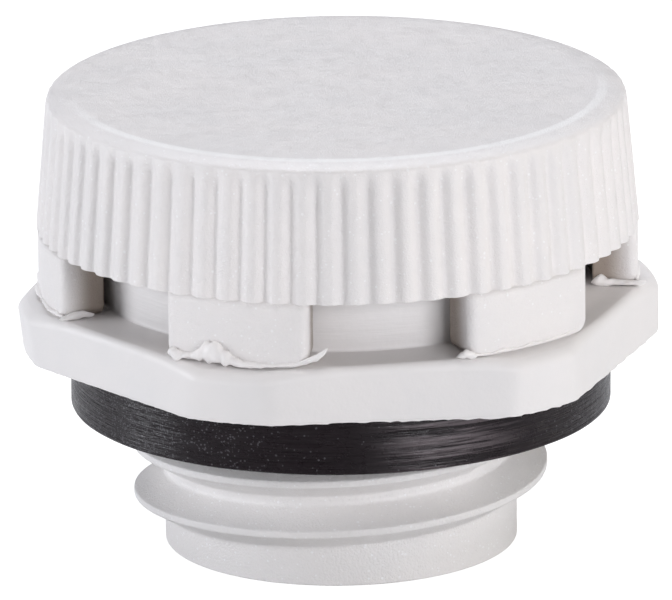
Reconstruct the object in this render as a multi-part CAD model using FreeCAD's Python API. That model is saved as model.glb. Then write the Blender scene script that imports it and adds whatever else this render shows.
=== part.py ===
import FreeCAD, Part
import math
import os

from FreeCAD import Vector

# A pressure equalizing vent plug that screws into the wall of an enclosure.
# The axis is Z. The plug stands on the end of its threaded stub at Z = 0.
# Millimetres and degrees. Sizes that can be set by themselves come first.

# Threaded stub, a right-hand M12 x 1.5 thread
thread_major_d = 12.0
thread_pitch = 1.5
thread_depth = 0.9
thread_crest_flat = 0.19
thread_flank_lean = 30.0
thread_start_z = 0.95
thread_start_angle = 49.0
thread_lead_in_z = 0.45
stub_length = 6.0
stub_wall = 1.5

# Neck that carries the gasket
neck_step = 0.5
thread_relief = 0.1
thread_run_out = 0.46

# Flat gasket
gasket_thickness = 1.85
gasket_inset = 0.68
gasket_bore_clearance = 0.1
gasket_edge_chamfer = 0.1

# Hexagonal flange with turned corners
across_flats = 17.0
corner_cut = 0.485
corner_lean = 0.18
corner_drop = 0.24
flange_thickness = 1.6
flange_vertical_round = 0.25
flange_top_round = 0.25
flange_bottom_chamfer = 0.08

# Cap: knurled skirt on legs that are welded to the flange
leg_margin = 0.67
weld_land = 0.04
leg_half_angle = 14.6
leg_height = 1.84
leg_edge_round = 0.3
leg_foot_round = 0.3
skirt_height = 4.0
skirt_wall = 1.15
cap_top_thickness = 1.3
cap_top_chamfer = 0.18
cap_inner_chamfer = 0.4
rib_count = 72
rib_turn = 3.5
rib_height = 0.2
rib_width = 0.56
rib_crown_width = 0.38
rib_crown_rise = 0.07
rib_flat_width = 0.16
rib_overhang = 0.04
rib_end_gap = 0.02
skirt_draft_angle = 5.4

# Collar with the membrane seat
collar_gap = 0.35
collar_headroom = 0.95
collar_rim_wall = 0.9
collar_edge_chamfer = 0.15
membrane_thickness = 0.3
membrane_clearance = 0.1
membrane_sink = 0.15
seat_ledge = 0.9
vent_chamber_depth = 1.9

# Places and radii that follow from the sizes above
HEX_SIDES = 6
AXIS = Vector(0, 0, 1)
crest_r = thread_major_d / 2
root_r = crest_r - thread_depth
bore_r = root_r - stub_wall
neck_r = crest_r - neck_step

flange_bottom_z = stub_length
flange_top_z = flange_bottom_z + flange_thickness
gasket_bottom_z = flange_bottom_z - gasket_thickness
gasket_outer_r = across_flats / 2 - gasket_inset
gasket_inner_r = crest_r + gasket_bore_clearance
hex_corner_r = across_flats / 2 / math.cos(math.pi / HEX_SIDES)
corner_top_r = hex_corner_r - corner_cut
corner_bottom_r = corner_top_r - corner_lean
corner_z = flange_top_z - corner_drop

leg_r = corner_top_r - leg_margin
flange_face_r = leg_r + weld_land
skirt_bottom_z = flange_top_z + leg_height
cap_top_z = skirt_bottom_z + skirt_height
cap_under_z = cap_top_z - cap_top_thickness
rib_tip_bottom_r = leg_r + rib_overhang
rib_tip_top_r = rib_tip_bottom_r - skirt_height * math.tan(math.radians(skirt_draft_angle))
skirt_inner_r = rib_tip_bottom_r - rib_height - skirt_wall

collar_r = skirt_inner_r - collar_gap
collar_top_z = cap_under_z - collar_headroom
recess_r = collar_r - collar_rim_wall
membrane_r = recess_r - membrane_clearance
membrane_top_z = collar_top_z - membrane_sink
seat_z = membrane_top_z - membrane_thickness
chamber_r = recess_r - seat_ledge
chamber_floor_z = seat_z - vent_chamber_depth


def polar(radius, angle, z):
    """Point at a radius and an angle in degrees, counted from +X towards +Y."""
    turn = math.radians(angle)
    return Vector(radius * math.cos(turn), radius * math.sin(turn), z)


def turned(profile, sweep=360.0):
    """Solid of revolution about Z from a closed outline of (radius, z) points."""
    points = [Vector(r, 0, z) for r, z in profile]
    face = Part.Face(Part.makePolygon(points + points[:1]))
    return face.revolve(Vector(0, 0, 0), AXIS, sweep)


def only_solid(shape):
    """The one solid of a boolean result, with seams between like faces removed."""
    solids = shape.removeSplitter().Solids
    assert len(solids) == 1, "expected one solid, got %d" % len(solids)
    return solids[0]


def is_upright(edge):
    """Whether an edge runs mostly along Z."""
    box = edge.BoundBox
    return box.ZLength > box.XLength + box.YLength


def lies_at(edge, z):
    """Whether an edge lies in the level plane at height z."""
    box = edge.BoundBox
    return abs(box.ZMin - z) < 1e-4 and abs(box.ZMax - z) < 1e-4


def thread_ridge():
    """Right-hand helical ridge with leaning flanks, cut to a cone at each end."""
    slope = math.tan(math.radians(thread_flank_lean))
    half_crest = thread_crest_flat / 2
    sunk_r = root_r - thread_crest_flat
    half_base = half_crest + (crest_r - sunk_r) * slope
    section = Part.makePolygon([
        Vector(sunk_r, 0, -half_base), Vector(crest_r, 0, -half_crest),
        Vector(crest_r, 0, half_crest), Vector(sunk_r, 0, half_base),
        Vector(sunk_r, 0, -half_base)])
    end_z = gasket_bottom_z - thread_relief
    climb = end_z - thread_run_out - thread_start_z
    path = Part.Wire(Part.makeHelix(thread_pitch, climb, root_r))
    ridge = path.makePipeShell([section], True, True)
    ridge.rotate(Vector(0, 0, 0), AXIS, thread_start_angle)
    ridge.translate(Vector(0, 0, thread_start_z))

    outside_r = crest_r + thread_crest_flat
    limit = turned([
        (bore_r, thread_lead_in_z), (root_r, thread_lead_in_z),
        (outside_r, thread_lead_in_z + outside_r - root_r),
        (outside_r, end_z - (outside_r - root_r) * slope),
        (root_r, end_z), (bore_r, end_z)])
    return ridge.common(limit)


def corner_limit(lower_edge):
    """Solid of revolution that turns the flange's corners, given the outline of its lower edge."""
    return turned([(0, flange_bottom_z)] + lower_edge
                  + [(corner_top_r, corner_z), (flange_face_r, flange_top_z), (0, flange_top_z)])


def flange():
    """Hexagonal prism whose corners are turned, beside and above, with soft edges."""
    # The flats face -Y and +Y, so two corners lie on the X axis.
    corners = [polar(hex_corner_r, 360 / HEX_SIDES * k, flange_bottom_z) for k in range(HEX_SIDES)]
    prism = Part.Face(Part.makePolygon(corners + corners[:1])).extrude(AXIS * flange_thickness)
    plate = only_solid(prism.common(corner_limit([(corner_bottom_r, flange_bottom_z)])))
    plate = plate.makeFillet(flange_vertical_round, [e for e in plate.Edges if is_upright(e)])

    # The level edges are what lies inside a prism and a limit whose own edges are soft.
    chamfer = flange_bottom_chamfer
    prism = prism.makeFillet(flange_top_round, [e for e in prism.Edges if lies_at(e, flange_top_z)])
    prism = prism.makeChamfer(chamfer, [e for e in prism.Edges if lies_at(e, flange_bottom_z)])
    limit = corner_limit([(corner_bottom_r - chamfer, flange_bottom_z),
                          (corner_bottom_r, flange_bottom_z + chamfer)])
    limit = limit.makeFillet(flange_top_round, [e for e in limit.Edges if lies_at(e, corner_z)])
    return only_solid(plate.common(prism).common(limit))


def body():
    """Threaded stub, neck, flange and collar, moulded in one piece round the vent bore."""
    stub = turned([(bore_r, 0), (root_r, 0), (root_r, gasket_bottom_z),
                   (neck_r, gasket_bottom_z), (neck_r, flange_top_z), (bore_r, flange_top_z)])

    chamfer = collar_edge_chamfer
    collar = turned([
        (bore_r, flange_bottom_z), (neck_r, flange_bottom_z), (collar_r, flange_top_z),
        (collar_r, collar_top_z - chamfer), (collar_r - chamfer, collar_top_z),
        (recess_r, collar_top_z), (recess_r, seat_z), (chamber_r, seat_z),
        (chamber_r, chamber_floor_z), (bore_r, chamber_floor_z)])

    bore = Part.makeCylinder(bore_r, flange_thickness, Vector(0, 0, flange_bottom_z))
    return only_solid(stub.fuse([flange().cut(bore), collar, thread_ridge()]))


def gasket():
    """Flat ring with slightly broken outer edges, squeezed between flange and enclosure."""
    soft = gasket_edge_chamfer
    return turned([
        (gasket_inner_r, gasket_bottom_z), (gasket_outer_r - soft, gasket_bottom_z),
        (gasket_outer_r, gasket_bottom_z + soft), (gasket_outer_r, flange_bottom_z - soft),
        (gasket_outer_r - soft, flange_bottom_z), (gasket_inner_r, flange_bottom_z)])


def membrane():
    """Thin disc that lets air through and lies on the seat inside the collar."""
    return Part.makeCylinder(membrane_r, membrane_thickness, Vector(0, 0, seat_z))


def rib():
    """One rib of the knurl: steep flanks, a crown in three flats, and an end that slopes away."""
    lean = math.radians(skirt_draft_angle)
    along = Vector(-math.sin(lean), 0, math.cos(lean))
    outward = Vector(math.cos(lean), 0, math.sin(lean))
    across = Vector(0, 1, 0)
    spare = rib_width
    crown = Vector(rib_tip_bottom_r, 0, skirt_bottom_z) - along * spare
    half_outline = ((rib_flat_width / 2, 0), (rib_crown_width / 2, rib_crown_rise),
                    (rib_width / 2, rib_height), (rib_width / 2, 2 * rib_height))
    right = [crown + across * u - outward * down for u, down in half_outline]
    left = [crown - across * u - outward * down for u, down in reversed(half_outline)]
    section = Part.Face(Part.makePolygon(right + left + right[:1]))
    bar = section.extrude(along * (skirt_height + 2 * spare))

    end_z = cap_top_z - cap_top_chamfer - rib_end_gap
    valley_r = rib_tip_top_r - rib_height
    outside_r = rib_tip_bottom_r + rib_height
    outline = [Vector(r, -rib_width, z) for r, z in (
        (skirt_inner_r, skirt_bottom_z), (outside_r, skirt_bottom_z),
        (outside_r, end_z - outside_r + valley_r), (valley_r, end_z), (skirt_inner_r, end_z))]
    limit = Part.Face(Part.makePolygon(outline + outline[:1])).extrude(across * 2 * rib_width)
    return bar.common(limit)


def knurled_drum():
    """Tapered drum with a chamfered top edge and evenly spaced ribs that end below it."""
    foot_r = rib_tip_bottom_r - rib_height
    top_r = rib_tip_top_r - rib_height
    lean = math.tan(math.radians(skirt_draft_angle))
    drum = turned([(0, skirt_bottom_z), (foot_r, skirt_bottom_z),
                   (top_r + cap_top_chamfer * lean, cap_top_z - cap_top_chamfer),
                   (top_r - cap_top_chamfer, cap_top_z), (0, cap_top_z)])
    bar = rib()
    ribs = [bar.rotated(Vector(0, 0, 0), AXIS, rib_turn + 360 / rib_count * k) for k in range(rib_count)]
    return drum.fuse(ribs)


def leg(angle):
    """One leg under the skirt, a sector of a ring with soft upright edges and foot corners."""
    sector = turned([(skirt_inner_r, flange_top_z), (leg_r, flange_top_z),
                     (leg_r, skirt_bottom_z), (skirt_inner_r, skirt_bottom_z)],
                    2 * leg_half_angle)
    sector.rotate(Vector(0, 0, 0), AXIS, -leg_half_angle)
    middle_r = (leg_r + skirt_inner_r) / 2
    outer = [e for e in sector.Edges if is_upright(e)
             and math.hypot(e.CenterOfMass.x, e.CenterOfMass.y) > middle_r]
    sector = sector.makeFillet(leg_edge_round, outer)

    # Seen from outside, the two lower corners are rounded as well.
    half_width = leg_r * math.sin(math.radians(leg_half_angle))
    bottom = Vector(0, -half_width, flange_top_z)
    gauge = Part.makeBox(2 * leg_r, 2 * half_width, leg_height, bottom)
    lower = [e for e in gauge.Edges if lies_at(e, flange_top_z) and e.BoundBox.YLength < leg_edge_round]
    leg_solid = sector.common(gauge.makeFillet(leg_foot_round, lower))
    return leg_solid.rotated(Vector(0, 0, 0), AXIS, angle)


def cap():
    """Knurled cover on six legs, one leg above each corner of the flange."""
    chamfer = cap_inner_chamfer
    cavity = turned([(0, skirt_bottom_z), (skirt_inner_r, skirt_bottom_z),
                     (skirt_inner_r, cap_under_z - chamfer), (skirt_inner_r - chamfer, cap_under_z),
                     (0, cap_under_z)])
    shell = knurled_drum().cut(cavity)
    legs = [leg(360 / HEX_SIDES * k) for k in range(HEX_SIDES)]
    return only_solid(shell.fuse(legs))


os.makedirs("parts", exist_ok=True)
for name, piece in (("body", body()), ("gasket", gasket()), ("membrane", membrane()), ("cap", cap())):
    piece.exportStep("parts/" + name + ".step")
    print(name, "valid", piece.isValid(), "volume", round(piece.Volume, 3),
          "faces", len(piece.Faces), "box", [round(v, 3) for v in (
              piece.BoundBox.XMin, piece.BoundBox.XMax, piece.BoundBox.YMin,
              piece.BoundBox.YMax, piece.BoundBox.ZMin, piece.BoundBox.ZMax)])
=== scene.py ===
"""Dresses a pressure equalizing vent plug for its photograph.

The solids give the places. Every surface is worked out again here in millimetres as whole
arrays, with the rounded ribs, the soft edges, the weld flash and the finishes of the real plug.
Angles are degrees about the plug's axis, counted from the front (-Y) towards the right (+X).
"""

import math

import bpy
import numpy as np
from mathutils import Matrix, Vector


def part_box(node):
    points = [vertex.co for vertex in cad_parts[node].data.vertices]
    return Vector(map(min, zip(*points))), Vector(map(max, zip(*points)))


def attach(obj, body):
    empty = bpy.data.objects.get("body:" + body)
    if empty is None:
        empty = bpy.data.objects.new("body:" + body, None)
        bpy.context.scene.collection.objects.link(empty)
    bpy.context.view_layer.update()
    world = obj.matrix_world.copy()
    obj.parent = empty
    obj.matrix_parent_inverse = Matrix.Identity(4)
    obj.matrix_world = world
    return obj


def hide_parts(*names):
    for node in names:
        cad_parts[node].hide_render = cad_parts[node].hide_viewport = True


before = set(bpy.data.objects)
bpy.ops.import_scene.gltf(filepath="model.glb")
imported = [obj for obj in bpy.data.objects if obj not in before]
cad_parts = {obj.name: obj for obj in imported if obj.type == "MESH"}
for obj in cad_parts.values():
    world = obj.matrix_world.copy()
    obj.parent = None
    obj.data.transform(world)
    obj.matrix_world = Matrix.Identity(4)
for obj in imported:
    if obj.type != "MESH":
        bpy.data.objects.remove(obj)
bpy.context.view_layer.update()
MM = 0.001


def low_corner(node):
    """Lowest corner of a solid's box, in millimetres."""
    return np.array(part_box(node)[0]) / MM


def high_corner(node):
    """Highest corner of a solid's box, in millimetres."""
    return np.array(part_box(node)[1]) / MM


# Places read from the solids
GASKET_LOW_Z = low_corner("gasket")[2]
GASKET_TOP_Z = high_corner("gasket")[2]
GASKET_R = high_corner("gasket")[0]
FLANGE_LOW_Z = GASKET_TOP_Z
FLANGE_TOP_Z = low_corner("cap")[2]
COLLAR_TOP_Z = high_corner("body")[2]
CAP_TOP_Z = high_corner("cap")[2]
RIB_TIP_R = high_corner("cap")[0]
SEAT_Z = low_corner("membrane")[2]
MEMBRANE_TOP_Z = high_corner("membrane")[2]
MEMBRANE_R = high_corner("membrane")[0]

# Sizes in millimetres and angles in degrees

# Stub and thread
CREST_R = 6.0
ROOT_R = 5.1
BORE_R = 3.6
NECK_R = 5.5
THREAD_PITCH = 1.5
THREAD_START_Z = 0.95
THREAD_START = 139.0
THREAD_LEAD_IN_Z = 0.45
THREAD_END_Z = 4.05
THREAD_CREST_HALF = 0.095
THREAD_FLANK = 30.0
THREAD_SUNK = 0.12
THREAD_FILLET = 0.16
THREAD_FADE = 14.0

# Flange, collar and the hollow above the stub
FLAT_R = 8.5
CORNER_TOP_R = 9.30
CORNER_LOW_R = 9.14
CORNER_FLARE = 0.15
CORNER_FLARE_MIDDLE = 82.0
FLANGE_FACE_R = 8.70
CORNER_DROP = 0.24
CORNER_BLEND = 0.035
CORNER_DROP_BLEND = 0.12
COLLAR_R = 7.0
RECESS_R = 6.1
CHAMBER_R = 5.2
CHAMBER_FLOOR_Z = 8.84

# Gasket
GASKET_BORE_R = 6.1
GASKET_SHIFT = 0.045

# Cap
SKIRT_INNER_R = 7.35
SKIRT_LOW_Z = 9.44
CAP_UNDER_Z = 12.14
RIM_WIDE = 0.9
RIM_TALL = 0.25
RIB_COUNT = 72
RIB_DEPTH = 0.145
RIB_TURN = -1.5
RIB_COLUMNS = 14
GROOVE_FADE = 0.8
SKIRT_DRAFT = 5.05

# Legs, from the front right one round to the right
LEG_R = 8.66
LEG_HALF_ANGLE = 14.6
LEG_EDGE_ROUND = 0.3
LEG_ANGLES = np.arange(6) * 60.0 + 30.0
LEG_WIDER = (1.5, 0, 0, 0, 0, 0)
LEG_FOOT_ROUND = 0.33
LEG_TALL = 1.86

# Sag and burr of the flange's lower edge
EDGE_SAG = 0.16
BURR_DEPTH = 0.09
BURR_THIN = 0.055
BURR_SEED = 5

# Weld flash in rows: angle round the axis, lowest and highest place, and how far it stands out of
# the leg
LEFT_FLASH = np.array([
    (-43.7, 7.66, 7.76, 0.10), (-42.7, 7.56, 7.95, 0.24), (-41.7, 7.48, 7.91, 0.28),
    (-40.2, 7.60, 7.82, 0.18), (-38.4, 7.64, 7.83, 0.14), (-36.4, 7.62, 8.03, 0.20),
    (-34.8, 7.60, 8.26, 0.24), (-33.0, 7.60, 8.18, 0.24), (-31.3, 7.58, 8.00, 0.22),
    (-28.3, 7.54, 7.76, 0.20), (-25.2, 7.55, 7.72, 0.16), (-21.7, 7.60, 7.70, 0.12),
    (-18.3, 7.64, 7.76, 0.11), (-16.2, 7.70, 7.87, 0.12), (-14.6, 7.78, 7.98, 0.13),
    (-13.2, 7.87, 8.10, 0.13), (-12.3, 7.98, 8.24, 0.12), (-11.9, 8.08, 8.30, 0.10)])
RIGHT_FLASH = np.array([
    (12.9, 7.62, 7.73, 0.06), (13.8, 7.60, 7.86, 0.16), (14.9, 7.60, 7.90, 0.18), (16.2, 7.60, 7.78, 0.12),
    (17.6, 7.62, 7.72, 0.06), (20.3, 7.62, 7.69, 0.04), (22.8, 7.62, 7.74, 0.07), (24.6, 7.62, 7.70, 0.03),
    (27.3, 7.62, 7.69, 0.04), (30.1, 7.62, 7.75, 0.06), (32.3, 7.62, 7.70, 0.03), (36.3, 7.62, 7.72, 0.03),
    (40.3, 7.66, 7.74, 0.02), (43.2, 7.80, 7.86, 0.01)])
# Weld flash along a leg's side in rows: radius, lowest and highest place, and half its width
RIGHT_SIDE_FLASH = np.array([
    (7.32, 7.62, 7.76, 0.06), (7.45, 7.58, 7.88, 0.15), (7.64, 7.57, 7.90, 0.17), (7.84, 7.60, 7.82, 0.12),
    (8.10, 7.62, 7.79, 0.10), (8.45, 7.62, 7.77, 0.10), (8.75, 7.62, 7.80, 0.10), (8.92, 7.62, 7.84, 0.08)])
LEFT_SIDE_FLASH = np.array([
    (7.70, 7.62, 7.72, 0.04), (7.95, 7.60, 7.78, 0.08), (8.20, 7.60, 7.85, 0.09),
    (8.42, 7.60, 7.80, 0.10), (8.62, 7.60, 7.76, 0.08), (8.80, 7.61, 7.73, 0.05)])


def smooth_low(a, b, blend):
    """The lower of two values with the crossing rounded off over about blend.

    Minus blend times the log of the sum of exp(-a / blend) and exp(-b / blend).
    """
    return -blend * np.logaddexp(-a / blend, -b / blend)


def ease(x):
    """Zero below 0, one above 1, and 3x squared minus 2x cubed between."""
    x = np.clip(x, 0, 1)
    return x * x * (3 - 2 * x)


def soft_outline(corners, closed=True, step=0.5, support=0.02, arc_steps=6):
    """Outline through (r, z, rounding) corners, each rounded by an arc that touches both its sides.

    An arc starts rounding / tan(half the corner's angle) before the corner. Its centre lies on the
    bisector at rounding / sin(half the angle), and its points turn evenly from one side to the
    other. Straight runs get a point every step, and one close to each arc to hold the shading.
    """
    points = np.array([(r, z) for r, z, _ in corners], float)
    rounds = [c[2] for c in corners]
    count = len(points)
    arcs = []
    for k in range(count):
        here = points[k]
        open_end = not closed and k in (0, count - 1)
        if open_end or rounds[k] <= 0:
            arcs.append(here[None])
            continue
        back = points[k - 1] - here
        ahead = points[(k + 1) % count] - here
        back /= np.linalg.norm(back)
        ahead /= np.linalg.norm(ahead)
        half = math.acos(np.clip(back @ ahead, -1, 1)) / 2
        bisector = (back + ahead) / np.linalg.norm(back + ahead)
        centre = here + bisector * rounds[k] / math.sin(half)
        first = here + back * rounds[k] / math.tan(half) - centre
        last = here + ahead * rounds[k] / math.tan(half) - centre
        turn = math.pi - 2 * half
        share = np.linspace(0, 1, arc_steps + 1)[:, None]
        swung = np.sin((1 - share) * turn) * first + np.sin(share * turn) * last
        arcs.append(centre + swung / math.sin(turn))
    line = []
    for k in range(count if closed else count - 1):
        line.append(arcs[k])
        start, end = arcs[k][-1], arcs[(k + 1) % count][0]
        length = np.linalg.norm(end - start)
        inner = np.arange(1, max(1, round(length / step))) * step / length
        edges = [support / length, 1 - support / length] if length > 4 * support else []
        inner = inner[(inner > 1.5 * support / length) & (inner < 1 - 1.5 * support / length)]
        share = np.sort(np.concatenate([edges, inner]))[:, None]
        line.append(start + (end - start) * share)
    if not closed:
        line.append(arcs[-1])
    return np.concatenate(line)


def polar(radius, angle, z):
    """Points at a radius, an angle from the front towards the right, and a height."""
    turn = np.radians(angle)
    return np.stack(np.broadcast_arrays(radius * np.sin(turn), -radius * np.cos(turn), z), -1)


def ring_surface(radius, z, angle):
    """Shell from rows of (radius, z) carried round the axis, closed both along and around."""
    points = polar(radius, angle, z)
    return points.reshape(-1, 3), wrapped_quads(points.shape[0], points.shape[1], True)


def wrapped_quads(rows, columns, close_rows):
    """Four-cornered faces between neighbours of a grid whose columns close on themselves.

    With close_rows the last row joins the first one too.
    """
    i = np.arange(rows if close_rows else rows - 1)[:, None]
    j = np.arange(columns)[None]
    below, right = (i + 1) % rows, (j + 1) % columns
    corners = np.broadcast_arrays(i * columns + j, i * columns + right,
                                  below * columns + right, below * columns + j)
    return np.stack(corners, -1).reshape(-1, 4)


def capped_grid(points):
    """Shell from a grid whose columns close on themselves, its first and last row drawn to a pole.

    The pole is the mean of the row. A fan's face has -1 for its missing fourth corner.
    """
    rows, columns = points.shape[:2]
    quads = wrapped_quads(rows, columns, False)
    first, last = rows * columns, rows * columns + 1
    j = np.arange(columns)
    right = (j + 1) % columns
    no_corner = np.full(columns, -1)
    low_fan = np.stack([np.full(columns, first), right, j, no_corner], -1)
    base = (rows - 1) * columns
    top_fan = np.stack([np.full(columns, last), base + j, base + right, no_corner], -1)
    poles = np.stack([points[0].mean(0), points[-1].mean(0)])
    return np.concatenate([points.reshape(-1, 3), poles]), np.concatenate([quads, low_fan, top_fan])


def turned_outward(points, faces):
    """The shell with its faces pointing outwards.

    They do if the signed volumes of the cones from the origin to the faces add up to more than 0.
    """
    a, b, c = (points[faces[:, k]] for k in range(3))
    d = points[np.where(faces[:, 3] < 0, faces[:, 2], faces[:, 3])]
    volume = (a * (np.cross(b, c) + np.cross(c, d))).sum()
    if volume > 0:
        return points, faces
    back = faces[:, ::-1]
    fan = faces[:, 3] < 0
    back[fan] = np.concatenate([faces[fan][:, 2::-1], faces[fan][:, 3:]], 1)
    return points, back


def make_piece(name, shells, material, nodes=()):
    """One smooth mesh from several closed shells, in metres, that moves with the plug."""
    points, faces, base = [], [], 0
    for shell in shells:
        shell_points, shell_faces = turned_outward(*shell)
        points.append(shell_points)
        faces.append(np.where(shell_faces < 0, -1, shell_faces + base))
        base += len(shell_points)
    faces = np.concatenate(faces)
    sides = np.where(faces[:, 3] < 0, 3, 4)
    mesh = bpy.data.meshes.new(name)
    co = np.concatenate(points) * MM
    mesh.vertices.add(len(co))
    mesh.vertices.foreach_set("co", co.astype(np.float32).ravel())
    corners = faces.ravel()
    corners = corners[corners >= 0]
    mesh.loops.add(len(corners))
    mesh.loops.foreach_set("vertex_index", corners.astype(np.int32))
    mesh.polygons.add(len(faces))
    starts = np.concatenate([[0], np.cumsum(sides)[:-1]])
    mesh.polygons.foreach_set("loop_start", starts.astype(np.int32))
    mesh.update(calc_edges=True)
    mesh.polygons.foreach_set("use_smooth", np.ones(len(faces), bool))
    mesh.validate()
    obj = bpy.data.objects.new(name, mesh)
    bpy.context.scene.collection.objects.link(obj)
    mesh.materials.append(material)
    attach(obj, "root")
    for node in nodes:
        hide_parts(node)


# Body: threaded stub, neck, flange and collar in one shell, and the thread's ridge


def flange_edge(angle, z):
    """Radius of the flange's side: a hexagon whose corners are turned to a cone.

    The lower of the flat's distance over the cosine of the angle from its middle, and the cone's
    radius at that height, with the crossing rounded off. The cone's foot flares out at the right,
    by the sixth power of the cosine of half the angle from there.
    """
    from_flat = np.radians((angle + 30) % 60 - 30)
    flat = FLAT_R / np.cos(from_flat)
    up = np.clip((z - FLANGE_LOW_Z) / (FLANGE_TOP_Z - FLANGE_LOW_Z), 0, 1)
    flare = CORNER_FLARE * np.cos(np.radians(angle - CORNER_FLARE_MIDDLE) / 2) ** 6
    low = CORNER_LOW_R + flare
    return smooth_low(flat, low + (CORNER_TOP_R - low) * up, CORNER_BLEND)


def corner_fall(radius):
    """How far the flange's top lies lower outside its round face: a cone, eased in where it begins."""
    lean = CORNER_DROP / (CORNER_TOP_R - FLANGE_FACE_R)
    return CORNER_DROP_BLEND * lean * np.logaddexp(0, (radius - FLANGE_FACE_R) / CORNER_DROP_BLEND)


def edge_sag(angle):
    """How far the flange's lower edge hangs over the gasket.

    Nothing up to 22 degrees left of the front, most from 26 to 75 degrees right, nothing from 125.
    """
    along = (angle + 180) % 360 - 180
    return EDGE_SAG * ease((along + 22) / 48) * ease((125 - along) / 50)


def body_angles():
    """Angles round the body, close together where the flats meet the turned corners."""
    coarse, fine = 0.95, 0.25
    edge_from, edge_to = 20.2, 24.9
    half = np.concatenate([np.arange(0, edge_from, coarse), np.arange(edge_from, edge_to, fine),
                           np.linspace(edge_to, 30, 6)])
    sixth = np.concatenate([half, 60 - half[-2:0:-1]])
    return (sixth[None] + 60 * np.arange(6)[:, None]).ravel()


def body_shell():
    """Outline of the body carried round the axis, its flange stretched out to the hexagon.

    Outside the gasket's neck or the collar, a flange point's share of the way to the nominal
    corner radius is kept, and the way is made as long as the hexagon's edge is far at that angle.
    Its height is pressed down by the fall of the turned corners, and drawn down by the sag of the
    lower edge outside the gasket.
    """
    outline = soft_outline([
        (BORE_R, 0, 0.12), (ROOT_R, 0, 0.05), (ROOT_R, THREAD_END_Z, 0), (NECK_R, GASKET_LOW_Z + 0.3, 0),
        (NECK_R, FLANGE_LOW_Z, 0), (CORNER_LOW_R, FLANGE_LOW_Z, 0.07), (CORNER_LOW_R, FLANGE_TOP_Z, 0.26),
        (COLLAR_R, FLANGE_TOP_Z, 0.06), (COLLAR_R, COLLAR_TOP_Z, 0.15), (RECESS_R, COLLAR_TOP_Z, 0.06),
        (RECESS_R, SEAT_Z, 0.03), (CHAMBER_R, SEAT_Z, 0.08), (CHAMBER_R, CHAMBER_FLOOR_Z, 0.1),
        (BORE_R, CHAMBER_FLOOR_Z, 0.1)], step=1.4)
    r, z = outline[:, :1], outline[:, 1:]
    angle = body_angles()[None]
    inner = np.where(z < (FLANGE_LOW_Z + FLANGE_TOP_Z) / 2, NECK_R, COLLAR_R)
    share = np.clip((r - inner) / (CORNER_LOW_R - inner), 0, 1)
    on_flange = (r > inner) & (z > FLANGE_LOW_Z - 1e-6) & (z < FLANGE_TOP_Z + 1e-6)
    radius = np.where(on_flange, inner + share * (flange_edge(angle, z) - inner), r)
    up = (z - FLANGE_LOW_Z) / (FLANGE_TOP_Z - FLANGE_LOW_Z)
    sagged = edge_sag(angle) * ease((radius - GASKET_R) / 0.4)
    fallen = z - up * corner_fall(radius) - (1 - up) * sagged
    return ring_surface(radius, np.where(on_flange, fallen, z), angle)


def burr_shell():
    """Ragged moulding burr under the flange's lower edge: a thin strip that hangs a little lower.

    Its depth is the burr's depth times a broad wave times the 1.5th power of short seeded steps.
    The section's lower end is drawn down by that depth, and its upper end lies inside the flange.
    """
    angle = np.arange(0, 360, 0.3)[None]
    chance = np.random.default_rng(BURR_SEED)
    places = np.arange(0, 360, 1.1)
    places = places + chance.uniform(-0.4, 0.4, len(places))
    steps = np.interp(angle, places, chance.uniform(0, 1, len(places)), period=360)
    broad = np.interp(angle, np.arange(0, 360, 24), chance.uniform(0.15, 1, 15), period=360)
    depth = BURR_DEPTH * broad * steps ** 1.5 + 0.002
    inner, outer = -0.02 - BURR_THIN, -0.02
    section = soft_outline([(inner, 0.05, 0), (inner, -1, 0), (outer, -1, 0), (outer, 0.05, 0)], step=2.0)
    edge = flange_edge(angle, FLANGE_LOW_Z + 0.05)
    across, down = section[:, :1], section[:, 1:]
    z = FLANGE_LOW_Z - edge_sag(angle) + np.where(down < 0, down * depth, down + 0.03)
    return ring_surface(edge + across, z, angle)


def ridge_shell():
    """The thread's ridge: a rounded section carried up the helix, cut to a cone at each end.

    The section's middle climbs one pitch a turn. It grows out of the root over the first degrees and
    sinks back over the last ones. A point stays inside a 45 degree cone at the lead-in and a cone
    along the upper flank at the run-out.
    """
    crest, flank = THREAD_CREST_HALF, math.tan(math.radians(THREAD_FLANK))
    sunk_r = ROOT_R - THREAD_SUNK
    base = crest + (CREST_R - ROOT_R) * flank
    foot = base + THREAD_FILLET
    section = soft_outline([
        (sunk_r, -foot, 0), (ROOT_R, -foot, 0), (ROOT_R, -base, THREAD_FILLET),
        (CREST_R, -crest, 0.075), (CREST_R, crest, 0.075), (ROOT_R, base, THREAD_FILLET),
        (ROOT_R, foot, 0), (sunk_r, foot, 0)], step=0.15, arc_steps=5)
    climb = THREAD_END_Z - 0.46 - THREAD_START_Z
    turned = np.arange(0, climb / THREAD_PITCH * 360, 2.0)
    fade = ease(turned / THREAD_FADE)[:, None] * ease((turned[-1] - turned) / THREAD_FADE)[:, None]
    out = section[:, 0][None] - sunk_r
    z = THREAD_START_Z + THREAD_PITCH * turned[:, None] / 360
    z = z + section[:, 1][None] * (0.4 + 0.6 * fade)
    r = sunk_r + out * (0.1 + 0.9 * fade)
    r = smooth_low(r, ROOT_R + z - THREAD_LEAD_IN_Z, 0.03)
    r = smooth_low(r, ROOT_R + (THREAD_END_Z - z) / flank, 0.03)
    r = np.maximum(r, sunk_r - 0.1)
    return capped_grid(polar(r, THREAD_START + turned[:, None], z))


# Cap: knurled drum and six legs


def rib_height(angle):
    """Height of the knurl round the skirt, 1 on a rib's crown and 0 in a groove.

    With u the distance from the rib's middle over half a pitch, one minus the 1.6th power of the
    eased u: a broad crown, slanting flanks and a narrow rounded valley.
    """
    from_middle = np.abs(((angle - RIB_TURN) * RIB_COUNT / 360 + 0.5) % 1 - 0.5)
    return 1 - ease(from_middle / 0.5) ** 1.6


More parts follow.
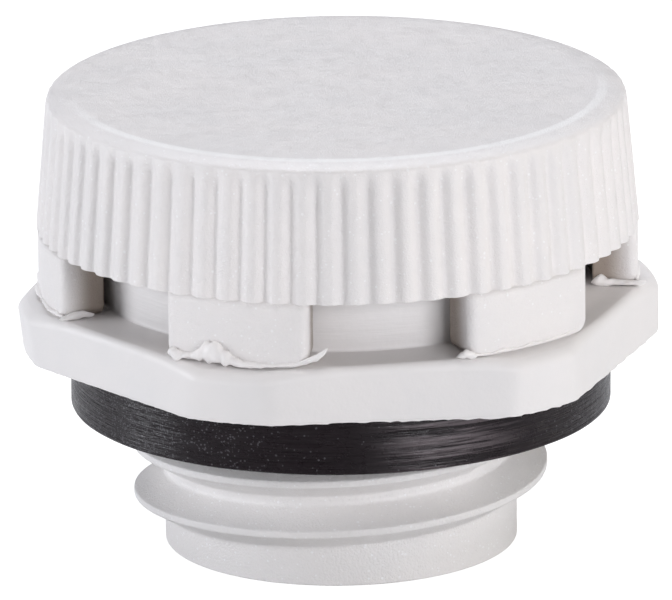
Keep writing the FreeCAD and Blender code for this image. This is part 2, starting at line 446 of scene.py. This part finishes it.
def drum_shell():
    """The cap's outline from the middle of its top to the middle of its ceiling, carried round the axis.

    The rim is a quarter of an ellipse, wide and low: the top falls off gently, then turns down.
    Outside the grooves' cone a point is drawn in by its depth over that cone times one minus the
    rib's height. The grooves deepen from nothing at the top to their full depth GROOVE_FADE lower.
    """
    lean = math.tan(math.radians(SKIRT_DRAFT))
    rim_r = RIB_TIP_R - (CAP_TOP_Z - SKIRT_LOW_Z) * lean
    turn = np.linspace(0, 1, 15) ** 0.75 * math.pi / 2
    rim_z = CAP_TOP_Z - RIM_TALL * (1 - np.cos(turn))
    rim = [(rim_r - RIM_WIDE * (1 - math.sin(t)), z, 0) for t, z in zip(turn, rim_z)]
    fade_z = CAP_TOP_Z - np.linspace(RIM_TALL, GROOVE_FADE, 6)[1:]
    fade = [(RIB_TIP_R - (z - SKIRT_LOW_Z) * lean, z, 0) for z in fade_z]
    outline = soft_outline([
        (0.05, CAP_TOP_Z, 0), *rim, *fade, (RIB_TIP_R, SKIRT_LOW_Z, 0.035),
        (SKIRT_INNER_R, SKIRT_LOW_Z, 0.1), (SKIRT_INNER_R, CAP_UNDER_Z, 0.4), (0.05, CAP_UNDER_Z, 0)],
        closed=False, step=0.8, support=0.03, arc_steps=8)
    r, z = outline[:, :1], outline[:, 1:]
    columns = RIB_COUNT * RIB_COLUMNS
    angle = np.arange(columns)[None] * 360 / columns
    groove_r = RIB_TIP_R - RIB_DEPTH - (z - SKIRT_LOW_Z) * lean
    above = np.clip(r - groove_r, 0, None)
    cut = ease((CAP_TOP_Z - z) / GROOVE_FADE)
    return capped_grid(polar(r - above * cut * (1 - rib_height(angle)), angle, z))


def leg_shell(middle, wider):
    """One leg: a rounded ring sector drawn up from the flange, its two lower corners rounded.

    Below the rounding's height the half width shrinks as a quarter circle does. The right half is
    wider by the given degrees.
    """
    half = LEG_R * math.radians(LEG_HALF_ANGLE)
    section = soft_outline([
        (-half, SKIRT_INNER_R, 0.1), (half, SKIRT_INNER_R, 0.1),
        (half, LEG_R, LEG_EDGE_ROUND), (-half, LEG_R, LEG_EDGE_ROUND)], step=0.5)
    across, r = section[:, 0][None], section[:, 1][None]
    foot = LEG_FOOT_ROUND
    rounded = foot * (1 - np.cos(np.linspace(0, math.pi / 2, 9)))
    up = np.concatenate([rounded, np.linspace(foot + 0.07, LEG_TALL, 8)])[:, None]
    short = np.clip(foot - up, 0, foot)
    shrink = foot - np.sqrt(foot ** 2 - short ** 2)
    width = across * (half - shrink) / half
    angle = middle + np.degrees(width / LEG_R) * np.where(across > 0, 1 + wider / LEG_HALF_ANGLE, 1)
    return capped_grid(polar(r + up * 0, angle, FLANGE_TOP_Z + up + across * 0))


# Weld flash at the feet of the legs


def smooth_run(nodes, spacing):
    """Points along a smooth line through nodes, spacing apart or closer.

    Between two nodes runs a cubic whose slope at each is half the step between its neighbours.
    """
    ahead = np.concatenate([nodes[1:], 2 * nodes[-1:] - nodes[-2:-1]])
    before = np.concatenate([2 * nodes[:1] - nodes[1:2], nodes[:-1]])
    slope = (ahead - before) / 2
    length = np.linalg.norm(np.diff(nodes[:, :3], axis=0), axis=1)
    parts = []
    for k, span in enumerate(length):
        t = np.arange(0, 1, min(0.5, spacing / span))[:, None]
        parts.append(nodes[k] * (1 + 2 * t) * (1 - t) ** 2 + nodes[k + 1] * t * t * (3 - 2 * t)
                     + slope[k] * t * (1 - t) ** 2 - slope[k + 1] * t * t * (1 - t))
    return np.concatenate(parts + [nodes[-1:]])


def bead_shell(centre, half_height, half_width, lumps, seed):
    """Bead of melted plastic along a line: an oval section across the line, swollen by seeded waves.

    A point lies half_width times the cosine sideways and half_height times the sine up, both times
    the swelling and times a taper: the root of one minus the eighth power of twice the share of
    the way minus one.
    """
    run = smooth_run(np.concatenate([centre, half_height[:, None], half_width[:, None]], 1), 0.035)
    middle, tall, wide = run[:, :3], run[:, 3:4], run[:, 4:5]
    along = np.gradient(middle, axis=0)
    along[:, 2] = 0
    along /= np.linalg.norm(along, axis=1)[:, None]
    out = np.stack([-along[:, 1], along[:, 0], along[:, 2]], 1)
    far = np.concatenate([[0], np.cumsum(np.linalg.norm(np.diff(middle, axis=0), axis=1))])[:, None]
    turn = np.linspace(0, 2 * math.pi, 21)[:-1][None]
    chance = np.random.default_rng(seed)
    swell = 1 + 0 * far * turn
    for wave in range(7):
        pitch, start = chance.uniform(5, 24), chance.uniform(0, 6.28)
        swell += lumps * np.sin(pitch * far + chance.integers(0, 4) * turn + start)
    share = far / far[-1]
    taper = np.sqrt(np.clip(1 - (2 * share - 1) ** 8, 0.02, 1))
    side = (wide * taper * swell * np.cos(turn))[:, :, None] * out[:, None]
    rise = tall * taper * swell * np.sin(turn)
    points = middle[:, None] + side
    points[:, :, 2] += rise
    return capped_grid(points)


def outer_flash(rows, lumps, seed):
    """Flash along the outside of a leg's foot, from rows of angle, lowest, highest and overhang."""
    angle, low, high, out = rows.T
    inner_r = LEG_R - 0.12
    centre = polar((inner_r + LEG_R + out) / 2, angle, (low + high) / 2)
    return bead_shell(centre, (high - low) / 2, (LEG_R + out - inner_r) / 2, lumps, seed)


def side_flash(angle, rows, lumps, seed):
    """Flash along the side of a leg's foot, from rows of radius, lowest, highest and half width."""
    radius, low, high, half_width = rows.T
    return bead_shell(polar(radius, angle, (low + high) / 2), (high - low) / 2, half_width, lumps, seed)


def hidden_flash(middle, seed):
    """Small uneven flash round the outside of a leg's foot on the side that the photograph hides."""
    chance = np.random.default_rng(seed)
    angle = middle + np.linspace(-LEG_HALF_ANGLE, LEG_HALF_ANGLE, 11)
    low = FLANGE_TOP_Z + 0.01 + chance.uniform(-0.01, 0.02, 11)
    high = low + 0.1 + 0.3 * chance.uniform(0, 1, 11) ** 4
    return outer_flash(np.stack([angle, low, high, chance.uniform(0.03, 0.14, 11)], 1), 0.04, seed)


def flash_shells():
    """All the flash: two feet seen from outside, two from the side, and the hidden ones."""
    seen_outside = [outer_flash(LEFT_FLASH, 0.05, 3), outer_flash(RIGHT_FLASH, 0.06, 4)]
    seen_sideways = [
        side_flash(90 - LEG_HALF_ANGLE - 0.3, RIGHT_SIDE_FLASH, 0.05, 7),
        side_flash(-90 + LEG_HALF_ANGLE + 0.4, LEFT_SIDE_FLASH, 0.07, 8)]
    hidden = [hidden_flash(middle, seed) for middle, seed in ((90, 21), (150, 22), (210, 23), (270, 24))]
    return seen_outside + seen_sideways + hidden


# Gasket and membrane


def gasket_shell():
    """Flat ring cut from rubber: a nearly square section whose outer side waves very slightly.

    The wave is the sum of a slow and a quick sine round the ring. The ring lies a little to the
    right of the axis.
    """
    outline = soft_outline([
        (GASKET_BORE_R, GASKET_LOW_Z, 0.05), (GASKET_R, GASKET_LOW_Z, 0.09),
        (GASKET_R, GASKET_TOP_Z, 0.05), (GASKET_BORE_R, GASKET_TOP_Z, 0.05)], step=0.12)
    r, z = outline[:, :1], outline[:, 1:]
    angle = np.arange(360)[None] * 1.0
    turn = np.radians(angle)
    wave = 0.006 * np.sin(7 * turn + 1.0) + 0.004 * np.sin(17 * turn + z * 3) - 0.01
    outside = ease((r - GASKET_BORE_R) / (GASKET_R - GASKET_BORE_R))
    points, faces = ring_surface(r + wave * outside, z, angle)
    return points + np.array([GASKET_SHIFT, 0, 0]), faces


def membrane_shell():
    """Thin disc with a softly rounded edge."""
    outline = soft_outline([
        (0.05, MEMBRANE_TOP_Z, 0), (MEMBRANE_R, MEMBRANE_TOP_Z, 0.1), (MEMBRANE_R, SEAT_Z, 0.05),
        (0.05, SEAT_Z, 0)], closed=False, step=1.0)
    angle = np.arange(96)[None] * 3.75
    return capped_grid(polar(outline[:, :1] + angle * 0, angle, outline[:, 1:]))


# Finishes. Each shared effect is one node group, placed in the materials with its own values.


def add_node(tree, kind, inputs=None, **settings):
    """A shader node with its settings, each input linked to a socket or given a plain value."""
    made = tree.nodes.new("ShaderNode" + kind)
    for name, value in settings.items():
        setattr(made, name, value)
    for name, value in (inputs or {}).items():
        if isinstance(value, bpy.types.NodeSocket):
            tree.links.new(value, made.inputs[name])
        else:
            made.inputs[name].default_value = value
    return made


def calculate(tree, operation, a, b=0.0):
    """Result of one arithmetic step on numbers, each a socket or a plain value."""
    return add_node(tree, "Math", {0: a, 1: b}, operation=operation).outputs[0]


def ramp(tree, value, start, end, low=0.0, high=1.0):
    """Value carried smoothly from low at start to high at end, and no further."""
    inputs = {"Value": value, "From Min": start, "From Max": end, "To Min": low, "To Max": high}
    return add_node(tree, "MapRange", inputs, interpolation_type="SMOOTHSTEP").outputs[0]


def new_group(name, inputs, outputs):
    """Empty shader node group whose inputs are numbers after a vector, and whose outputs are numbers."""
    group = bpy.data.node_groups.new(name, "ShaderNodeTree")
    group.interface.new_socket("Vector", in_out="INPUT", socket_type="NodeSocketVector")
    for label, value in inputs.items():
        group.interface.new_socket(label, in_out="INPUT", socket_type="NodeSocketFloat").default_value = value
    for label in outputs:
        group.interface.new_socket(label, in_out="OUTPUT", socket_type="NodeSocketFloat")
    return group, group.nodes.new("NodeGroupInput").outputs, group.nodes.new("NodeGroupOutput").inputs


def counted_in(tree, vector, size_mm):
    """The place in a pattern whose features are size_mm apart: the vector in metres over that size."""
    per_metre = calculate(tree, "DIVIDE", 1 / MM, size_mm)
    return add_node(tree, "VectorMath", {0: vector, "Scale": per_metre}, operation="SCALE").outputs[0]


def moulded_grain():
    """Spark-eroded skin: rounded grains of one size over a finer, uneven noise."""
    group, given, put = new_group("moulded_grain", {"Size": 0.1}, ["Height"])
    place = counted_in(group, given["Vector"], given["Size"])
    cells = add_node(group, "TexVoronoi", {"Vector": place, "Scale": 1.0}, feature="F1")
    noise = add_node(group, "TexNoise", {"Vector": place, "Scale": 1.7, "Detail": 3.0, "Roughness": 0.65})
    grains = calculate(group, "MULTIPLY", cells.outputs["Distance"], -0.6)
    group.links.new(calculate(group, "ADD", grains, noise.outputs[0]), put["Height"])
    return group


def turned_lines():
    """Fine lines left by a turning tool: noise drawn out round the axis, with a coarser one over it."""
    group, given, put = new_group("turned_lines", {"Pitch": 0.1, "Run": 2.0}, ["Height"])
    place = counted_in(group, given["Vector"], given["Pitch"])
    drawn = calculate(group, "DIVIDE", given["Pitch"], given["Run"])
    stretch = add_node(group, "CombineXYZ", {0: drawn, 1: drawn, 2: 1.0}).outputs[0]
    along = add_node(group, "VectorMath", {0: place, 1: stretch}, operation="MULTIPLY").outputs[0]
    fine = add_node(group, "TexNoise", {"Vector": along, "Scale": 1.0, "Detail": 2.0, "Roughness": 0.7})
    coarse = add_node(group, "TexNoise", {"Vector": along, "Scale": 0.3, "Detail": 1.0})
    group.links.new(calculate(group, "ADD", fine.outputs[0], coarse.outputs[0]), put["Height"])
    return group


def scattered_specks():
    """Small round specks: a cell keeps its speck if its own random number is below the share."""
    group, given, put = new_group("scattered_specks", {"Spacing": 0.5, "Width": 0.1, "Share": 0.3}, ["Mask"])
    place = counted_in(group, given["Vector"], given["Spacing"])
    cells = add_node(group, "TexVoronoi", {"Vector": place, "Scale": 1.0})
    chance = add_node(group, "SeparateColor", {0: cells.outputs["Color"]})
    edge = calculate(group, "DIVIDE", given["Width"], given["Spacing"])
    half = calculate(group, "MULTIPLY", edge, calculate(group, "ADD", chance.outputs[1], 0.2))
    near = calculate(group, "LESS_THAN", cells.outputs["Distance"], half)
    kept = calculate(group, "LESS_THAN", chance.outputs[0], given["Share"])
    group.links.new(calculate(group, "MULTIPLY", near, kept), put["Mask"])
    return group


def tone_patches():
    """Slow, cloudy change of tone over the surface, from 0 to 1."""
    group, given, put = new_group("tone_patches", {"Size": 3.0}, ["Value"])
    place = counted_in(group, given["Vector"], given["Size"])
    cloud = add_node(group, "TexNoise", {"Vector": place, "Scale": 1.0, "Detail": 4.0, "Roughness": 0.6})
    group.links.new(ramp(group, cloud.outputs[0], 0.3, 0.7), put["Value"])
    return group


GRAIN = moulded_grain()
LINES = turned_lines()
SPECKS = scattered_specks()
PATCHES = tone_patches()

# Radii at which the painted highlight along the rim starts, is full, begins to fade and ends
RIM_HIGHLIGHT_RADII = (7.48, 7.58, 7.72, 7.88)


class Finish:
    """A material under way: its tree, its shader, its Object coordinates and the distance from the axis."""

    def __init__(self, name):
        self.material = bpy.data.materials.new(name)
        self.material.use_nodes = True
        self.tree = self.material.node_tree
        self.shader = self.tree.nodes["Principled BSDF"]
        self.place = add_node(self.tree, "TexCoord").outputs["Object"]
        self.axes = add_node(self.tree, "SeparateXYZ", {0: self.place}).outputs
        flat = add_node(self.tree, "VectorMath", {0: self.place, 1: (1, 1, 0)}, operation="MULTIPLY")
        length = add_node(self.tree, "VectorMath", {0: flat.outputs[0]}, operation="LENGTH")
        self.radius = length.outputs["Value"]

    def effect(self, group, **values):
        """First output of a shared effect placed here with its own values."""
        placed = add_node(self.tree, "Group", node_tree=group)
        self.tree.links.new(self.place, placed.inputs["Vector"])
        for name, value in values.items():
            if isinstance(value, bpy.types.NodeSocket):
                self.tree.links.new(value, placed.inputs[name])
            else:
                placed.inputs[name].default_value = value
        return placed.outputs[0]

    def across(self, way, start_mm, end_mm, low=0.0, high=1.0):
        """Low before start_mm and high past end_mm along X, Y, Z or the radius, and smooth between."""
        value = self.radius if way == "radius" else self.axes[way]
        return ramp(self.tree, value, start_mm * MM, end_mm * MM, low, high)

    def patchy(self, size_mm, low, high):
        """Number that drifts between low and high over patches of this size."""
        return ramp(self.tree, self.effect(PATCHES, Size=size_mm), 0, 1, low, high)

    def blend(self, share, first, second):
        """Mix of two colours, each a socket or a plain colour."""
        mix = add_node(self.tree, "Mix", {"Factor": share}, data_type="RGBA")
        for socket, colour in ((mix.inputs[6], first), (mix.inputs[7], second)):
            if isinstance(colour, bpy.types.NodeSocket):
                self.tree.links.new(colour, socket)
            else:
                socket.default_value = (*colour, 1)
        return mix.outputs[2]

    def times(self, *values):
        """Product of some numbers."""
        product = values[0]
        for value in values[1:]:
            product = calculate(self.tree, "MULTIPLY", product, value)
        return product

    def bump(self, height, depth_mm, under=None):
        """Normal tilted by a height, depth_mm deep."""
        inputs = {"Height": height, "Distance": depth_mm * MM, "Strength": 1.0}
        if under is not None:
            inputs["Normal"] = under
        return add_node(self.tree, "Bump", inputs).outputs[0]

    def finish(self, colour, roughness, normal, **plain):
        """Links colour, roughness and normal, and sets plain numbers on the shader's own sockets."""
        self.tree.links.new(colour, self.shader.inputs["Base Color"])
        self.tree.links.new(roughness, self.shader.inputs["Roughness"])
        self.tree.links.new(normal, self.shader.inputs["Normal"])
        for name, value in plain.items():
            self.shader.inputs[name.replace("_", " ")].default_value = value
        return self.material


def cap_finish():
    """Light grey plastic with a fine spark-eroded skin.

    A painted highlight follows the rim in front, and the sides of the legs are darkened inwards
    from their outer edge as painted shade.
    """
    f = Finish("cap_plastic")
    colour = f.blend(f.effect(PATCHES, Size=2.5), (0.835, 0.800, 0.785), (0.805, 0.778, 0.768))
    glint = f.effect(SPECKS, Spacing=0.10, Width=0.034, Share=0.14)
    colour = f.blend(f.times(glint, 0.5), colour, (0.95, 0.95, 0.95))
    start_r, full_r, fading_r, end_r = RIM_HIGHLIGHT_RADII
    # Painted highlight: a pale ring along the rounded rim, full in front and fading towards the back.
    ring = f.times(f.across("radius", start_r, full_r), f.across("radius", end_r, fading_r))
    rim = f.times(ring, f.across("Y", 1.0, -4.0), f.across("Z", CAP_TOP_Z - 0.24, CAP_TOP_Z - 0.19))
    colour = f.blend(f.times(rim, 0.7), colour, (0.97, 0.96, 0.95))
    # Painted shade: the cap below the skirt, which is the legs, darkens to brown inwards from radius 8.6 mm.
    painted_gap_shade = f.times(f.across("radius", 8.6, 7.7), f.across("Z", SKIRT_LOW_Z - 0.01, SKIRT_LOW_Z - 0.04))
    colour = f.blend(f.times(painted_gap_shade, 0.88), colour, (0.25, 0.19, 0.145))
    normal = f.bump(f.effect(GRAIN, Size=0.055), 0.014)
    normal = f.bump(f.effect(PATCHES, Size=0.9), 0.012, normal)
    return f.finish(colour, f.patchy(0.4, 0.30, 0.42), normal)


def body_finish():
    """Light grey plastic, satin on the flange, sparkling on the stub, with turned lines on the collar."""
    f = Finish("body_plastic")
    on_stub = f.across("Z", GASKET_LOW_Z + 0.15, GASKET_LOW_Z - 0.15)
    on_collar = f.across("Z", FLANGE_TOP_Z + 0.1, FLANGE_TOP_Z + 0.25)
    speck = f.effect(SPECKS, Spacing=1.3, Width=0.07, Share=0.014)
    glint = f.times(f.effect(SPECKS, Spacing=0.10, Width=0.034, Share=0.2), on_stub)
    colour = f.blend(f.effect(PATCHES, Size=3.2), (0.80, 0.772, 0.76), (0.772, 0.752, 0.745))
    # Painted light: the stub's colour is lifted towards white, standing in for light bounced up from the
    # floor.
    colour = f.blend(f.times(on_stub, 0.2), colour, (0.92, 0.90, 0.885))
    colour = f.blend(f.times(speck, 0.7), colour, (0.16, 0.15, 0.14))
    colour = f.blend(f.times(glint, 0.6), colour, (0.95, 0.95, 0.96))
    roughness = calculate(f.tree, "ADD", f.patchy(0.5, 0.44, 0.56), f.times(on_stub, -0.16))
    grain = f.times(f.effect(GRAIN, Size=0.075), on_stub)
    lines = f.times(f.effect(LINES, Pitch=0.08, Run=1.5), on_collar)
    normal = f.bump(grain, 0.018)
    normal = f.bump(lines, 0.012, normal)
    normal = f.bump(f.effect(PATCHES, Size=0.7), 0.006, normal)
    return f.finish(colour, roughness, normal)


def flash_finish():
    """The cap's plastic where it has melted: paler, and uneven in gloss."""
    f = Finish("melted_plastic")
    colour = f.blend(f.effect(PATCHES, Size=0.5), (0.87, 0.84, 0.825), (0.81, 0.785, 0.775))
    normal = f.bump(f.effect(GRAIN, Size=0.12), 0.010)
    return f.finish(colour, f.patchy(0.25, 0.46, 0.6), normal)


def rubber_finish():
    """Black rubber with fine turned lines and a few crumbs.

    Pale dusting thickens towards the left and the right, and towards the right it also stands in for
    a grazing reflection, as painted reflection. The lines' tops are painted pale in a band at the
    front as a painted sheen.
    """
    f = Finish("gasket_rubber")
    at_left = f.across("X", -1.5, -7.3, 0.02, 0.85)
    # Dust, and towards the right also painted reflection: the pale specks thicken to stand in for the grazing
    # reflection at the gasket's end.
    right_dust_and_reflection = f.across("X", 5.0, 7.4, 0.0, 0.95)
    dust_and_reflection_share = f.times(calculate(f.tree, "ADD", at_left, right_dust_and_reflection), f.effect(PATCHES, Size=0.35))
    dust_and_reflection_specks = f.effect(SPECKS, Spacing=0.055, Width=0.03, Share=dust_and_reflection_share)
    crumb = f.effect(SPECKS, Spacing=0.8, Width=0.06, Share=0.12)
    lines = f.effect(LINES, Pitch=0.055, Run=1.8)
    # Painted sheen: the tops of the turned lines are painted pale in a band, standing in for the key lamp's
    # reflection.
    painted_sheen = f.times(ramp(f.tree, lines, 0.9, 1.2), f.across("X", -0.8, 1.4), f.across("X", 4.6, 2.2))
    colour = f.blend(lines, (0.0015, 0.0006, 0.001), (0.009, 0.005, 0.007))
    colour = f.blend(painted_sheen, colour, (0.12, 0.10, 0.107))
    colour = f.blend(f.times(dust_and_reflection_specks, 0.5), colour, (0.13, 0.125, 0.135))
    colour = f.blend(f.times(crumb, 0.8), colour, (0.45, 0.45, 0.46))
    normal = f.bump(lines, 0.036)
    normal = f.bump(f.effect(GRAIN, Size=0.09), 0.003, normal)
    return f.finish(colour, f.patchy(0.35, 0.25, 0.34), normal, Specular_IOR_Level=0.23)


def membrane_finish():
    """White porous sheet with a fine felted skin."""
    f = Finish("membrane_sheet")
    colour = f.blend(f.effect(PATCHES, Size=0.6), (0.84, 0.84, 0.83), (0.79, 0.79, 0.78))
    return f.finish(colour, f.patchy(0.2, 0.7, 0.85), f.bump(f.effect(GRAIN, Size=0.06), 0.02))


body_plastic = body_finish()
cap_plastic = cap_finish()
melted_plastic = flash_finish()
rubber = rubber_finish()
sheet = membrane_finish()

make_piece("plug_body", [body_shell(), ridge_shell(), burr_shell()], body_plastic, ["body"])
legs = [leg_shell(middle, wider) for middle, wider in zip(LEG_ANGLES, LEG_WIDER)]
make_piece("knurled_cap", [drum_shell(), *legs], cap_plastic, ["cap"])
make_piece("weld_flash", flash_shells(), melted_plastic)
make_piece("flat_gasket", [gasket_shell()], rubber, ["gasket"])
make_piece("vent_membrane", [membrane_shell()], sheet, ["membrane"])


# Stage, light and camera

CAMERA_AZIMUTH = -9.7
CAMERA_ELEVATION = 16.47
CAMERA_DISTANCE = 386.5
CAMERA_ROLL = 0.71
CAMERA_LENS = 716.4
AIM_Z = 7.055
SIDE_STEP = -0.075
FLOOR_Z = -0.01
FLOOR_GLOW = 1.4
FLOOR_GLOW_SHARE = 0.7
WORLD_FILL = 0.03
LAMP_DISTANCE = 350

# Lamps: name, azimuth, elevation, width and height in millimetres, power in watts, colour
LAMPS = (
    ("key_soft_box", 26, 12, (170, 140), 0.70, (0.96, 0.965, 1.0)),
    ("left_soft_box", -98, 12, (150, 140), 0.79, (0.93, 0.95, 1.0)),
    ("right_soft_box", 86, 22, (150, 140), 0.28, (1.0, 0.95, 0.86)),
    ("back_soft_box", 170, 55, (200, 160), 0.76, (0.88, 0.92, 1.0)),
    ("low_soft_box", -60, 5, (120, 50), 0.045, (0.88, 0.94, 1.0)),
    ("top_soft_box", -10, 84, (260, 70), 0.29, (1.0, 0.98, 0.98)))


def direction(azimuth, elevation):
    """Unit vector from the plug towards a place in the studio. Azimuth 0 is the front, -Y."""
    a, e = math.radians(azimuth), math.radians(elevation)
    return Vector((math.sin(a) * math.cos(e), -math.cos(a) * math.cos(e), math.sin(e)))


def photo_camera():
    """Long lens at the photograph's viewing angle, turned a little about its own axis."""
    camera = bpy.data.cameras.new("photo_camera")
    camera.lens = CAMERA_LENS
    camera.sensor_width = 36
    camera.clip_start, camera.clip_end = 0.01, 10
    obj = bpy.data.objects.new("photo_camera", camera)
    bpy.context.scene.collection.objects.link(obj)
    back = direction(CAMERA_AZIMUTH, CAMERA_ELEVATION)
    turn = (-back).to_track_quat("-Z", "Y").to_matrix().to_4x4()
    right = turn.to_3x3() @ Vector((1, 0, 0))
    place = Vector((0, 0, AIM_Z)) * MM + back * CAMERA_DISTANCE * MM + right * SIDE_STEP * MM
    obj.matrix_world = Matrix.Translation(place) @ turn @ Matrix.Rotation(math.radians(-CAMERA_ROLL), 4, "Z")
    bpy.context.scene.camera = obj


def soft_box(name, azimuth, elevation, size, power, colour):
    """Rectangular area lamp that faces the plug from LAMP_DISTANCE away."""
    lamp = bpy.data.lights.new(name, "AREA")
    lamp.shape = "RECTANGLE"
    lamp.size, lamp.size_y = size[0] * MM, size[1] * MM
    lamp.energy = power
    lamp.color = colour
    obj = bpy.data.objects.new(name, lamp)
    bpy.context.scene.collection.objects.link(obj)
    back = direction(azimuth, elevation)
    turn = (-back).to_track_quat("-Z", "Y").to_matrix().to_4x4()
    place = Vector((0, 0, AIM_Z)) * MM + back * LAMP_DISTANCE * MM
    obj.matrix_world = Matrix.Translation(place) @ turn
    obj.visible_camera = False


def white_floor():
    """Pale floor under the stub that looks white to the camera and keeps a faint shadow."""
    reach, low = 1.5, FLOOR_Z * MM
    mesh = bpy.data.meshes.new("studio_floor")
    corners = [(-reach, -reach, low), (reach, -reach, low), (reach, reach, low), (-reach, reach, low)]
    mesh.from_pydata(corners, [], [(0, 1, 2, 3)])
    obj = bpy.data.objects.new("studio_floor", mesh)
    bpy.context.scene.collection.objects.link(obj)
    material = bpy.data.materials.new("studio_floor")
    material.use_nodes = True
    tree = material.node_tree
    tree.nodes.clear()
    paper = add_node(tree, "BsdfDiffuse", {"Color": (0.82, 0.82, 0.82, 1)})
    lit = add_node(tree, "Emission", {"Strength": FLOOR_GLOW})
    to_camera = add_node(tree, "LightPath").outputs["Is Camera Ray"]
    share = calculate(tree, "MULTIPLY", to_camera, FLOOR_GLOW_SHARE)
    seen = add_node(tree, "MixShader", {0: share, 1: paper.outputs[0], 2: lit.outputs[0]})
    add_node(tree, "OutputMaterial", {"Surface": seen.outputs[0]})
    mesh.materials.append(material)


def studio_world():
    """Even pale light from all round, white where the camera sees it."""
    world = bpy.data.worlds.new("studio_world")
    bpy.context.scene.world = world
    world.use_nodes = True
    tree = world.node_tree
    tree.nodes.clear()
    fill = add_node(tree, "Background", {"Color": (0.97, 0.98, 1.0, 1), "Strength": WORLD_FILL})
    white = add_node(tree, "Background", {"Strength": 1.0})
    to_camera = add_node(tree, "LightPath").outputs["Is Camera Ray"]
    seen = add_node(tree, "MixShader", {0: to_camera, 1: fill.outputs[0], 2: white.outputs[0]})
    add_node(tree, "OutputWorld", {"Surface": seen.outputs[0]})


photo_camera()
white_floor()
studio_world()
for lamp in LAMPS:
    soft_box(*lamp)
bpy.context.scene.view_settings.view_transform = "Standard"
